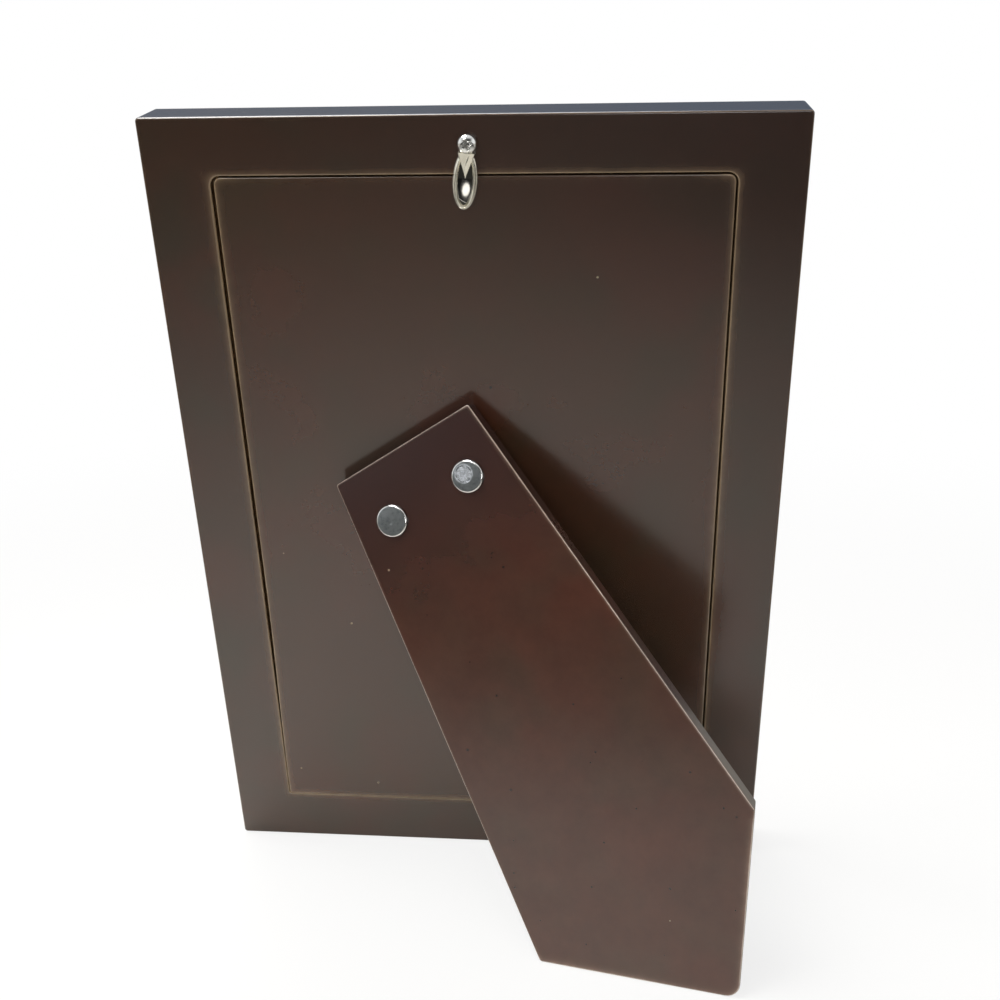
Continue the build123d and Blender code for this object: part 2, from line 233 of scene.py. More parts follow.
# The rail's profile carried round the frame, from the back over the opening's wall and ledge to the front.
def buildFrameBody(b):
    corner, inner = [b["cornerRadius"]] * 2, [b["innerRadius"]] * 2
    opening = [b["openingTopRadius"], b["openingBottomRadius"]]
    stations = [  # inset, depth, corner radius at the top and at the bottom
        [0, 0] + corner,
        [b["openingSide"], 0] + opening,
        [b["openingSide"], -b["openingDepth"]] + opening,
        [b["pocketSide"], -b["openingDepth"]] + inner,
        [b["pocketSide"], -b["pocketDepth"]] + inner,
        [b["sightSide"], -b["pocketDepth"]] + inner,
        [b["sightSide"], b["sightBevel"] - b["thickness"]] + inner,
        [b["sightSide"] - b["sightBevel"], -b["thickness"]] + inner,
        [0, -b["thickness"]] + corner,
    ]
    pocket, sight = b["pocketRound"], b["sightRound"]
    rounds = [b["backRound"], b["lipRound"], 0, pocket, 0, pocket, sight, sight, b["frontRound"]]
    profile, edges = softProfile(stations, rounds, True)
    inset = profile[:, 0]
    share = np.zeros(len(profile))  # 1 on the opening's wall, where the rails are narrower
    share[edges[0]:edges[1]] = np.clip(inset[edges[0]:edges[1]] / b["openingSide"], 0, 1)
    share[edges[1]:edges[2] + 1] = 1
    ledge = slice(edges[2], edges[3])
    ledgeWidth = b["pocketSide"] - b["openingSide"]
    share[ledge] = 1 - np.clip((inset[ledge] - b["openingSide"]) / ledgeWidth, 0, 1)
    x, y, n = railLoop(profile, b["width"], 0.0, b["height"], share, b["openingShifts"])
    lip = rubDistance(profile, edges[[1]])
    allRound = np.vstack([profile, profile[:1]])  # back to the first corner
    rim = rubDistance(allRound, np.append(edges[[0, 7, 8]], len(profile)))[:-1]
    within = np.arange(len(profile))
    bare = ease(b["bareFrom"], b["bareTo"], lip) * (within > edges[1]) * (within < edges[5])
    marks = roundMarks(x.shape[1], lip=lip, rim=rim, bare=bare)
    return makePiece("frameBody", [onBack(x, y, n)], "frame", ["frame_body"], marks, True)


backPanel = {
    "width": 103.6, "bottom": 13.7, "top": 171.05, "thickness": 4.0,
    "shifts": (0.4, 0.0, -0.1, 0.0),  # right, top, left and bottom, outwards
    "topRadius": 1.4, "bottomRadius": 0.6, "lipRound": 0.22, "innerRound": 0.15,
    "topPaintedShade": 0.75, "topBand": (-3.0, -0.5), "topEnds": (0.48, 0.47),  # the top edge gets less of the rubbed colour, a painted shade from the top rail
    "flat": 40.0,  # inset of the innermost row
    "tightSide": 0.62, "tightUp": (72.0, 22.0),  # the left gap closes towards the bottom corner
    "tightAcross": (-0.3, -0.5),  # from here to here across the panel, as shares of its width
}


# A flat slab as rows of rounded rectangles from the middle of one face, over its edge, to the middle of the
# other. Its left side leans out towards the bottom.
def buildBackPanel(b):
    radii, rounds = (b["topRadius"], b["bottomRadius"]), (b["lipRound"], b["innerRound"])
    profile, edges = slabProfile(b["flat"], 0, -b["thickness"], radii, rounds)
    x, y, n = railLoop(profile, b["width"], b["bottom"], b["top"], 1.0, b["shifts"])
    closer = b["tightSide"] * ease(*b["tightUp"], y) * ease(*b["tightAcross"], x / b["width"])
    lip = rubDistance(profile, edges[[1]])
    bare = ease(frameBody["bareFrom"], frameBody["bareTo"], lip) * (np.arange(len(profile)) > edges[1])
    marks = roundMarks(x.shape[1], lip=lip, bare=bare)
    # painted shade: less rubbed colour along the panel's top edge
    alongTop = ease(*b["topBand"], y - b["top"]) * ease(*b["topEnds"], np.abs(x) / b["width"])
    marks["lip"][0] += b["topPaintedShade"] * alongTop
    points = onBack(x - closer, y, n)
    return makePiece("backPanel", [points], "frame", ["back_panel"], marks)


layers = {
    "glassPane": {"width": 102.0, "height": 152.8, "outer": -5.8, "inner": -7.8, "round": 0.3},
    "photoSheet": {"width": 101.6, "height": 152.4, "outer": -5.5, "inner": -5.8, "round": 0.08},
    "backingCard": {"width": 101.6, "height": 152.4, "outer": -4.0, "inner": -5.5, "round": 0.15},
}
layerFit = {
    "air": 0.02,  # kept free on each face, mm
    "cornerRadius": 0.5, "flatShare": 1 / 3,  # inset of the innermost row over the width
}


# A flat layer of the pocket, as rows of rectangles from the middle of one face, over its edge, to the other.
def buildLayer(name, node):
    b, fit = layers[name], layerFit
    outer, inner = b["outer"] - fit["air"], b["inner"] + fit["air"]
    flat, radii = b["width"] * fit["flatShare"], [fit["cornerRadius"]] * 2
    profile = slabProfile(flat, outer, inner, radii, [b["round"]] * 2)[0]
    bottom = (frameBody["height"] - b["height"]) / 2
    x, y, n = railLoop(profile, b["width"], bottom, bottom + b["height"], 0.0, (0, 0, 0, 0))
    return makePiece(name, [onBack(x, y, n)], "frame", [node])


easelLeg = {
    "inner": 1.6, "outer": 6.1,  # faces over the pin
    "halfWidth": 18.7, "flare": 6.3, "top": 7.48,
    "sideLean": 8.6,  # of the other foot edge, for standing on the frame's side
    "edgeRound": 0.38, "innerRound": 0.25,
    "cornerRadii": [0.6, 0.6, 0.9, 3.0, 0.9],  # top right, top left, heel, toe, side
    "radiusShrink": 0.5, "leastRadius": 0.2,  # of the corners, towards the middle of a face
    "sawnFrom": 0.0, "sawnTo": -110.0,  # the edge shows more bare wood towards the foot
    "rightRubAndHighlight": 0.35, "rightBand": (0.6, 0.9),  # the right edge gets a wider rubbed band, real wear and a painted highlight
    "footRubAndHighlight": 0.72,  # and the two foot edges wider still, also with a painted highlight
    "flat": 14.5, "sideSteps": 24,
}


# Rows of five-sided outlines from the middle of the outer face to the middle of the inner one. The two foot
# edges are where the table's plane, and the plane of a table that the frame stands on sideways, cut each row.
def buildEaselLeg(b):
    profile, edges = slabProfile(b["flat"], b["outer"], b["inner"], (), (b["edgeRound"], b["innerRound"]))
    inset, height = profile[:, 0], profile[:, 1]
    flareCos, flareSin = turnOf(b["flare"])
    sideCos, sideSin = turnOf(b["sideLean"])
    across, up, out = legAxes @ backAxes  # in the row frame
    sideNormal = backAxes[0] * sideCos + backAxes[2] * sideSin
    sidePoint = backAxes[0] * frameBody["width"] / 2 + backOrigin
    half = b["halfWidth"] * flareCos + 0 * inset
    facing = [b["flare"], 90, 180 - b["flare"]]
    reach = [half, b["top"] + 0 * inset, half]
    for normal, point in ((np.array([0, 0, -1.0]), np.zeros(3)), (sideNormal, sidePoint)):
        flat = np.array([normal @ across, normal @ up])
        facing.append(np.degrees(np.arctan2(flat[1], flat[0])) % 360)
        reach.append((normal @ (point - pinPlace) - height * (normal @ out)) / np.linalg.norm(flat))
    radius = np.array(b["cornerRadii"])[None] - inset[:, None] * b["radiusShrink"]
    radius = np.maximum(radius, b["leastRadius"])
    reach = np.stack(reach, 1) - inset[:, None]
    x, y = roundedLoop(facing, reach, radius, sideSteps=b["sideSteps"])
    rows, columns = np.arange(len(profile)), np.arange(x.shape[1])
    onSide = 1.0 * (rows > edges[1]) * (rows < edges[2])
    marks = roundMarks(len(columns), rim=rubDistance(profile, edges[[1]]), side=onSide)
    marks["side"][0] *= ease(b["sawnFrom"], b["sawnTo"], y)
    onRight = ease(*b["rightBand"], (x - y * flareSin) / b["halfWidth"])
    stretch = columns * len(facing) // len(columns)  # which corner of the outline, with the side after it
    onFoot = (stretch == 2) | (stretch == 3)  # after the heel and after the toe
    # wider rubbed bands on the right and foot edges: real wear and a painted highlight
    marks["rim"][0] *= 1 - np.where(onFoot, b["footRubAndHighlight"], b["rightRubAndHighlight"] * onRight)
    points = onLeg(x, y, height[:, None])
    return makePiece("easelLeg", [points], "leg", ["easel_leg"], marks)


poleRadius = 0.02  # of the ring or the width that closes a piece at its end, mm
rivets = {
    "spacing": 20.2, "legDrop": 5.7, "panelDrop": 18.0, "leaf": 0.7,
    "headHeight": 0.8, "headRound": 0.40, "crown": 0.08,
    "underIn": 0.1, "underUp": 0.08,  # bevel under the head
    "legHead": 3.55, "panelHead": 2.9, "legGrip": 5.2, "panelGrip": 3.7,
    "shank": 1.45, "tail": 2.3, "tailHeight": 0.7, "tailEdge": 0.2,
    "segments": 96, "faceRows": 40, "rimRows": 8,
    "dimpleAt": (-0.37, -0.30), "dimple": 0.06, "dimpleRadius": 0.32,  # centre mark of the left head
    "scuffAt": (-0.33, 0.84), "scuffRadius": 1.8, "scuff": 0.03,  # hammered spot of the right head
    "scuffEdge": (1.05, 0.9), "noScuff": 9.0,  # distance over its radius: at its edge, and far from it
    "ringFrom": 0.05,  # height over the seat from which the head is plated bright
}


# A turned rivet: its outline in radius and height carried round its axis. The crowned face has a centre mark
# and a hammered spot, each a shallow dent by the distance from its own middle.
def rivetGrid(b, head, grip, dimpled, scuffed):
    angle = np.linspace(0, 2 * np.pi, b["segments"], endpoint=False)
    face = np.linspace(poleRadius, head - b["headRound"], b["faceRows"])
    turn = np.linspace(0, np.pi / 2, b["rimRows"])[1:]
    rimR = head - b["headRound"] * (1 - np.sin(turn))
    rimZ = b["headHeight"] - b["headRound"] * (1 - np.cos(turn))
    low = -grip - b["tailHeight"]
    under = [
        (head, b["underUp"]), (head - b["underIn"], 0), (b["shank"], 0), (b["shank"], -grip),
        (b["tail"], -grip), (b["tail"], low + b["tailEdge"]), (b["tail"] - b["tailEdge"], low),
        (poleRadius, low),
    ]
    underR, underZ = np.array(under).T
    crown = b["crown"] * (1 - (face / face[-1]) ** 2)
    radius = np.concatenate([face, rimR, underR])[:, None]
    z = np.concatenate([b["headHeight"] + crown, rimZ, underZ])[:, None] + 0 * angle
    x, y = radius * np.cos(angle), radius * np.sin(angle)
    onFace = (np.arange(len(radius)) < len(face))[:, None]
    toDimple = np.hypot(x - b["dimpleAt"][0], y - b["dimpleAt"][1]) / b["dimpleRadius"]
    toScuff = np.hypot(x - b["scuffAt"][0], y - b["scuffAt"][1]) / b["scuffRadius"]
    dent = dimpled * b["dimple"] * np.exp(-toDimple ** 2)
    dent = dent + scuffed * b["scuff"] * ease(*b["scuffEdge"], toScuff)
    ring = np.repeat(radius / head, len(angle), 1) * (z > b["ringFrom"])
    scuff = np.where(onFace & bool(scuffed), toScuff, b["noScuff"])
    return x, y, z - dent * onFace, ring, scuff


# Two rivets through the leg and two through the panel, each pair along the pin at its own drop below it.
def buildRivets(b):
    places = np.array([-0.5, 0.5]) * b["spacing"]
    sets = []
    for name, body, head, grip in (("leg", "leg", b["legHead"], b["legGrip"]),
                                   ("panel", "frame", b["panelHead"], b["panelGrip"])):
        grids, rings, scuffs = [], [], []
        for place, scuffed in zip(places, (0, 1)):
            x, y, z, ring, scuff = rivetGrid(b, head, grip, 1 - scuffed, scuffed)
            if name == "leg":
                grids.append(onLeg(x + place, y - b["legDrop"], z + easelLeg["outer"]))
            else:
                u, v = (pinPoint + alongPin * place + legDown * b["panelDrop"])[:2]
                grids.append(onBack(x + u, y + v, z + b["leaf"]))
            rings.append(ring)
            scuffs.append(scuff)
        marks = {"ring": rings, "scuff": scuffs}
        nodes = [name + "_rivets"]
        sets.append(makePiece(name + "Rivets", grids, body, nodes, marks, sharpAngle=50))
    return sets


turnButton = {
    "screwV": 177.375, "turn": 5.4,  # clockwise as seen from behind, degrees
    "padRadius": 1.85, "padDrop": 0.05, "reach": 12.75, "endGap": 0.004,
    "bowlMiddle": -7.3, "bowlHalfWidth": 2.42, "bowlUpper": 6.2, "blendPower": 8, "leastSlope": 0.02,
    "under": 0.15, "plate": 0.75, "backInset": 0.01,
    "rimTop": 1.35, "rimWidth": 0.9, "rimFall": 0.42, "rimCurve": 1.35, "wallWidth": 0.12,
    "lineAt": 0.25, "lineDepth": 0.12, "lineWidth": 0.06,  # fold line along the rim
    "lineRight": (-0.5, 0.8), "lineTip": (-9, -11),  # on the right, and round the tip
    "dishFloor": 0.42, "dishLow": -6.8, "dishSlope": 0.10, "dishCurve": 0.0275,
    "dishAcross": 0.05, "dishTilt": 0.14,
    "neckEnd": -3.0, "dishStart": -4.2,
    "gussetStart": -1.6, "gussetTip": -6.75, "gussetHalf": 1.75, "gussetRise": 0.3, "gussetSide": (1.0, 0.94),
    "gussetEdgeTop": 1.6, "gussetEdgeTip": 0.4,
    "beadHeight": 0.1, "beadWidth": 0.1, "beadAt": 1.7, "beadStart": (0.05, 0.3),  # at, in its own widths
    "foldRight": 0.73, "foldStart": 0.58, "creaseDepth": 0.14, "creaseWidth": 0.13, "creaseStart": 0.5,
    "rows": 260, "columns": 141, "backStep": 8,
}


# Point of the button from the screw's axis: x and y turned by the button's angle, n out of the back.
def buttonPoint(x, y, n):
    turnCos, turnSin = turnOf(turnButton["turn"])
    u, v = x * turnCos + y * turnSin, y * turnCos - x * turnSin
    return onBack(u, v + turnButton["screwV"], n)


# How far up the gusset a height y lies, from its tip in the dish to its straight edge at the screw.
def gussetShare(b, y):
    return np.clip((y - b["gussetTip"]) / (b["gussetStart"] - b["gussetTip"]), 0, 1) * (y < b["gussetStart"])


# Length of the half of the egg-shaped bowl that a height y lies in, above its middle or below it.
def bowlLength(b, y):
    return np.where(y > b["bowlMiddle"], b["bowlUpper"], b["reach"] + b["bowlMiddle"])


# Half width of the button at a height y: the widest of the round pad, the egg-shaped bowl and the gusset,
# with the first two blended by a sum of powers.
def buttonHalfWidth(b, y):
    pad = np.sqrt(np.clip(b["padRadius"] ** 2 - y ** 2, 0, None))
    bowl = np.sqrt(np.clip(1 - ((y - b["bowlMiddle"]) / bowlLength(b, y)) ** 2, 0, None)) * b["bowlHalfWidth"]
    smooth = (pad ** b["blendPower"] + bowl ** b["blendPower"]) ** (1 / b["blendPower"])
    return np.maximum(np.maximum(smooth, b["gussetHalf"] * gussetShare(b, y)), poleRadius)


# Distance in from the bowl's edge, to first order: the egg's level over the length of its gradient.
def bowlInset(b, x, y):
    length = bowlLength(b, y)
    alongX, alongY = x / b["bowlHalfWidth"], (y - b["bowlMiddle"]) / length
    level = np.hypot(alongX, alongY)
    slope = np.hypot(alongX / b["bowlHalfWidth"], alongY / length)
    return (1 - level) * level / np.maximum(slope, b["leastSlope"])


# Front of the button over the back: a crowned rim with a fold line, a floor that drops from the neck into a
# dish and rises again to the tip, and the folded gusset, two sloping facets that narrow to a point in the
# dish. Gives the height and a mark of where shade is painted: the dish and the gusset's crease.
def buttonFront(b, x, y):
    inset = bowlInset(b, x, y)
    below = np.clip(b["dishLow"] - y, 0, None)
    dish = b["dishFloor"] + b["dishSlope"] * below + b["dishCurve"] * below ** 2
    dish = dish + b["dishAcross"] * x ** 2 - b["dishTilt"] * x
    sunk = ease(b["neckEnd"], b["dishStart"], y)
    floor = np.minimum(b["plate"] * (1 - sunk) + dish * sunk, b["rimTop"])
    across = np.clip(2 * inset / b["rimWidth"] - 1, -1, 1)  # from the rim's outer edge to its inner one
    crown = b["rimTop"] - b["rimFall"] * np.abs(across) ** b["rimCurve"]
    wall = ease(b["rimWidth"], b["rimWidth"] + b["wallWidth"], inset)
    front = crown * (1 - wall) + floor * wall
    line = np.exp(-((inset - b["lineAt"]) / b["lineWidth"]) ** 2)
    line = line * np.maximum(ease(*b["lineRight"], x), ease(*b["lineTip"], y))
    front = front - b["lineDepth"] * line
    front = np.where(y > b["gussetStart"], np.minimum(front, b["plate"] - b["padDrop"]), front)
    share = gussetShare(b, y)
    wide = np.maximum(b["gussetHalf"] * share, poleRadius)
    fold = b["foldRight"] * np.clip((share - b["foldStart"]) / (1 - b["foldStart"]), 0, 1)
    up = np.where(x < fold, (x + wide) / (fold + wide), (wide - x) / (wide - fold))
    edge = b["gussetEdgeTip"] + (b["gussetEdgeTop"] - b["gussetEdgeTip"]) * share
    creased = np.clip((share - b["creaseStart"]) / (1 - b["creaseStart"]), 0, 1)
    crease = np.exp(-((x - fold) / b["creaseWidth"]) ** 2) * np.sin(np.pi * creased)
    bead = np.exp(-((x + wide - b["beadAt"] * b["beadWidth"]) / b["beadWidth"]) ** 2)
    bead = b["beadHeight"] * bead * ease(*b["beadStart"], share)
    gusset = edge + b["gussetRise"] * wide * up - b["creaseDepth"] * crease + bead
    covered = ease(*b["gussetSide"], np.abs(x) / wide) * (share > 0)
    # painted shade in the dish and along the gusset's crease
    shaded = sunk * wall * (1 - covered)
    return front + (np.maximum(front, gusset) - front) * covered, np.maximum(shaded, crease * covered)


# Cross sections carried along the button: each is the front from edge to edge and the flat back, drawn to a
# point at the pad's top and at the tip.
def buildTurnButton(b):
    t = np.linspace(0, np.pi, b["rows"])
    top, tip = b["padRadius"] - b["endGap"], b["endGap"] - b["reach"]
    y = ((top - tip) / 2 * np.cos(t) + (top + tip) / 2)[:, None]
    s = np.sin(np.linspace(-np.pi / 2, np.pi / 2, b["columns"]))
    half = buttonHalfWidth(b, y)
    x = half * s
    front, dish = buttonFront(b, x, y + 0 * x)
    backX = (half - b["backInset"]) * s[::-b["backStep"]]
    xs = np.concatenate([x, backX], 1)
    ns = np.concatenate([front, np.full_like(backX, b["under"])], 1)
    # the dish mark carries the painted shade
    marks = {"dish": [np.concatenate([dish, 0 * backX], 1)]}
    points = buttonPoint(xs, y + 0 * xs, ns)
    return makePiece("turnButton", [points], "button", ["turn_button"], marks, sharpAngle=60)


buttonScrew = {
    "seat": 0.8, "headRadius": 2.0, "headHeight": 1.5, "domePower": 2.3, "underIn": 0.12, "underDrop": 0.04,
    "shank": 1.1, "shankEnd": -8.0, "point": 0.8, "pointRadius": 0.3,
    "slotHalf": 0.27, "slotReach": 1.15, "slotFade": 0.4, "slotDepth": 0.7, "slotSlope": 0.16,
    "slotShade": 0.4, "turned": 24.0,
    "rings": 60, "segments": 160, "firstRing": 0.003,
}


# A domed head as a height over radius and angle, with a cross pressed into it, on a plain shank.
def buildButtonScrew(b):
    angle = np.linspace(0, 2 * np.pi, b["segments"], endpoint=False)[None]
    r = (np.sin(np.linspace(b["firstRing"], np.pi / 2, b["rings"])) * b["headRadius"])[:, None]
    dome = b["headHeight"] * np.sqrt(np.clip(1 - (r / b["headRadius"]) ** b["domePower"], 0, 1))
    x, y = r * np.cos(angle), r * np.sin(angle)
    turnCos, turnSin = turnOf(b["turned"])
    ax, ay = np.abs(x * turnCos + y * turnSin), np.abs(y * turnCos - x * turnSin)
    along, across = np.maximum(ax, ay), np.minimum(ax, ay)
    cross = ease(b["slotHalf"] + b["slotSlope"], b["slotHalf"] - b["slotSlope"], across)
    cross = cross * ease(b["slotReach"], b["slotReach"] - b["slotFade"], along)
    head = b["seat"] + dome - b["slotDepth"] * cross
    seat = b["seat"] - b["underDrop"]
    under = np.array([
        [b["headRadius"] - b["underIn"], seat], [b["shank"], seat],
        [b["shank"], b["shankEnd"] + b["point"]], [b["pointRadius"], b["shankEnd"]],
    ])
    underX, underY = under[:, :1] * np.cos(angle), under[:, :1] * np.sin(angle)
    heights = np.concatenate([head, np.repeat(under[:, 1:], b["segments"], 1)])
    points = onBack(np.concatenate([x, underX]), np.concatenate([y, underY]) + turnButton["screwV"], heights)
    # the cross is painted darker: painted shade in the slot
    marks = {"dish": [np.concatenate([cross * b["slotShade"], 0 * underX])]}
    nodes = ["turn_button_screw"]
    return makePiece("buttonScrew", [points], "frame", nodes, marks, sharpAngle=60)


def addNode(tree, kind, values=None, **settings):
    node = tree.nodes.new(kind)
    for key, value in settings.items():
        setattr(node, key, value)
    for key, value in (values or {}).items():
        node.inputs[key].default_value = value
    return node


# A number or colour goes on the socket itself, and an output is linked to it.
def feed(tree, socket, value):
    if isinstance(value, bpy.types.NodeSocket):
        tree.links.new(value, socket)
    else:
        socket.default_value = value


# An input without a value is a vector, one with a tuple a colour, and the others are numbers.
def startGroup(name, inputs, outputs):
    group = bpy.data.node_groups.new(name, "ShaderNodeTree")
    for label, value in inputs.items():
        kind = "Vector" if value is None else "Color" if isinstance(value, tuple) else "Float"
        socket = group.interface.new_socket(name=label, in_out="INPUT", socket_type="NodeSocket" + kind)
        if value is not None:
            socket.default_value = value
    for label, kind in outputs.items():
        group.interface.new_socket(name=label, in_out="OUTPUT", socket_type="NodeSocket" + kind)
    return group, group.nodes.new("NodeGroupInput").outputs, group.nodes.new("NodeGroupOutput").inputs


def useGroup(tree, group, **values):
    node = tree.nodes.new("ShaderNodeGroup")
    node.node_tree = group
    for key, value in values.items():
        feed(tree, node.inputs[key.replace("_", " ")], value)
    return node.outputs


def math(tree, operation, *values, clamp=False):
    node = addNode(tree, "ShaderNodeMath", operation=operation, use_clamp=clamp)
    for socket, value in zip(node.inputs, values):
        feed(tree, socket, value)
    return node.outputs[0]


def times(tree, first, second, clamp=False):
    return math(tree, "MULTIPLY", first, second, clamp=clamp)


def plus(tree, first, second, clamp=False):
    return math(tree, "ADD", first, second, clamp=clamp)


def less(tree, first, second, clamp=False):
    return math(tree, "SUBTRACT", first, second, clamp=clamp)


def remap(tree, value, low, high, toLow=0.0, toHigh=1.0):
    node = addNode(tree, "ShaderNodeMapRange", interpolation_type="SMOOTHSTEP")
    for socket, amount in zip(node.inputs[:5], (value, low, high, toLow, toHigh)):
        feed(tree, socket, amount)
    return node.outputs[0]


def mixColour(tree, share, first, second):
    node = addNode(tree, "ShaderNodeMix", data_type="RGBA")
    for socket, value in zip((node.inputs[0], node.inputs[6], node.inputs[7]), (share, first, second)):
        feed(tree, socket, value)
    return node.outputs[2]


def noise(tree, where, scale, detail, rough, stretch=None):
    if stretch:
        place = addNode(tree, "ShaderNodeMapping", {"Scale": stretch})
        tree.links.new(where, place.inputs["Vector"])
        where = place.outputs[0]
    node = addNode(tree, "ShaderNodeTexNoise", {"Detail": detail, "Roughness": rough})
    feed(tree, node.inputs["Scale"], scale)
    tree.links.new(where, node.inputs["Vector"])
    return node.outputs["Fac"]


noiseMean = 0.5


# A noise that swings about zero.
def swing(tree, where, scale, detail, rough):
    return less(tree, noise(tree, where, scale, detail, rough), noiseMean)


# Noises below are given by scale, detail and roughness, or by the last two where the scale is an input, and
# bands by the values between which a mask rises.
lacquerLook = {
    "broad": (1.5, 0.5), "warmBand": (0.42, 0.72),
    "second": (2.0, 0.5), "secondScale": 1.7, "coolBand": (0.42, 0.75),
    "mottle": (4.0, 0.7), "smear": (60.0, 5.0, 0.65),
    "peel": (900.0, 2.0, 0.5), "coarsePeel": (240.0, 2.0, 0.5), "coarseShare": 0.8,
}


# Broad cloudy changes of tone in the lacquer and finer mottling, with an orange peel in its height.
def lacquerGroup(v):
    group, given, out = startGroup("lacquerClouds", {
        "Where": None, "Colour": (0.042, 0.019, 0.011, 1), "Warm Colour": (0.045, 0.018, 0.012, 1),
        "Cool Colour": (0.028, 0.021, 0.014, 1), "Cloud Scale": 22.0, "Cloud Amount": 0.6,
        "Roughness": 0.32, "Roughness Change": 0.06, "Mottle Scale": 120.0, "Mottle": 0.7,
    }, {"Colour": "Color", "Roughness": "Float", "Height": "Float"})
    where, scale, amount = given["Where"], given["Cloud Scale"], given["Cloud Amount"]
    broad = noise(group, where, scale, *v["broad"])
    second = noise(group, where, times(group, scale, v["secondScale"]), *v["second"])
    warm = times(group, remap(group, broad, *v["warmBand"]), amount)
    cool = times(group, remap(group, second, *v["coolBand"]), amount)
    tone = mixColour(group, warm, given["Colour"], given["Warm Colour"])
    mottle = times(group, swing(group, where, given["Mottle Scale"], *v["mottle"]), given["Mottle"])
    mottled = addNode(group, "ShaderNodeVectorMath", operation="SCALE")
    feed(group, mottled.inputs["Vector"], mixColour(group, cool, tone, given["Cool Colour"]))
    feed(group, mottled.inputs["Scale"], plus(group, 1.0, mottle))
    feed(group, out["Colour"], mottled.outputs["Vector"])
    shift = times(group, swing(group, where, *v["smear"]), given["Roughness Change"])
    feed(group, out["Roughness"], plus(group, given["Roughness"], shift))
    coarse = times(group, noise(group, where, *v["coarsePeel"]), v["coarseShare"])
    feed(group, out["Height"], plus(group, noise(group, where, *v["peel"]), coarse))
    return group


rubLook = {
    "ragged": (420.0, 5.0, 0.65), "bareBand": (0.7, 0.2),
    "patches": (45.0, 3.0, 0.6), "patchBand": (0.42, 0.62),
}


# Lacquer rubbed thin along an edge: a mask that falls off exponentially with the distance from the edge in
# mm, and its bare core.
def edgeRubGroup(v):
    group, given, out = startGroup("edgeRub", {
        "Where": None, "Distance": 50.0, "Fade": 0.4, "Raggedness": 0.8, "Amount": 1.0, "Patchiness": 0.4,
    }, {"Rubbed": "Float", "Bare": "Float"})
    where = given["Where"]
    uneven = plus(group, 1.0, times(group, swing(group, where, *v["ragged"]), given["Raggedness"]))
    away = times(group, math(group, "DIVIDE", given["Distance"], given["Fade"]), uneven)
    patches = remap(group, noise(group, where, *v["patches"]), *v["patchBand"])
    kept = less(group, 1.0, times(group, given["Patchiness"], patches))
    strength = times(group, kept, given["Amount"])
    fading = math(group, "EXPONENT", times(group, away, -1.0))
    feed(group, out["Rubbed"], times(group, fading, strength, True))
    feed(group, out["Bare"], times(group, remap(group, away, *v["bareBand"]), strength, True))
    return group


speckLook = {"leastSize": 0.4}  # over the given size


# Sparse specks of dust or small pits: a round spot at the middle of some of the cells, each of its own size.
def dustGroup(v):
    group, given, out = startGroup("dustSpecks", {
        "Where": None, "Scale": 140.0, "Size": 0.022, "Share": 0.12,
    }, {"Dust": "Float"})
    cells = addNode(group, "ShaderNodeTexVoronoi")
    feed(group, cells.inputs["Vector"], given["Where"])
    feed(group, cells.inputs["Scale"], given["Scale"])
    pick = addNode(group, "ShaderNodeSeparateColor")
    feed(group, pick.inputs[0], cells.outputs["Color"])
    kept = math(group, "LESS_THAN", pick.outputs[0], given["Share"])
    size = times(group, given["Size"], plus(group, v["leastSize"], pick.outputs[1]))
    inside = math(group, "LESS_THAN", cells.outputs["Distance"], size)
    feed(group, out["Dust"], times(group, kept, inside))
    return group


platingLook = {
    "cloud": (6.0, 0.65), "tarnishBand": (0.42, 0.7),
    "lines": (1400.0, 3.0, 0.6), "lineStretch": (1.0, 0.12, 0.12), "lineHeight": 0.6,
}


# Plated metal: cloudy tarnish and fine rubbed lines, as a mask, a roughness and a height.
def platingGroup(v):
    group, given, out = startGroup("platingMarks", {
        "Where": None, "Roughness": 0.2, "Roughness Change": 0.15, "Cloud Scale": 500.0,
    }, {"Tarnish": "Float", "Roughness": "Float", "Height": "Float"})
    where = given["Where"]
    cloud = noise(group, where, given["Cloud Scale"], *v["cloud"])
    lines = noise(group, where, *v["lines"], stretch=v["lineStretch"])
    feed(group, out["Tarnish"], remap(group, cloud, *v["tarnishBand"]))
    both = less(group, plus(group, cloud, lines), 2 * noiseMean)
    shift = times(group, both, given["Roughness Change"])
    feed(group, out["Roughness"], plus(group, given["Roughness"], shift))
    feed(group, out["Height"], plus(group, times(group, lines, v["lineHeight"]), cloud))
    return group


lacquerClouds, edgeRub = lacquerGroup(lacquerLook), edgeRubGroup(rubLook)
dustSpecks, platingMarks = dustGroup(speckLook), platingGroup(platingLook)
print("groups done")


def startMaterial(name):
    material = bpy.data.materials.new(name)
    material.use_nodes = True
    tree = material.node_tree
    where = tree.nodes.new("ShaderNodeTexCoord").outputs["Object"]
    return material, tree, tree.nodes["Principled BSDF"], where


def addBump(tree, shader, height, strength, distance):
    bump = addNode(tree, "ShaderNodeBump", {"Strength": strength, "Distance": distance})
    tree.links.new(height, bump.inputs["Height"])
    tree.links.new(bump.outputs[0], shader.inputs["Normal"])


def marked(tree, name):
    return addNode(tree, "ShaderNodeAttribute", attribute_name=name).outputs["Fac"]


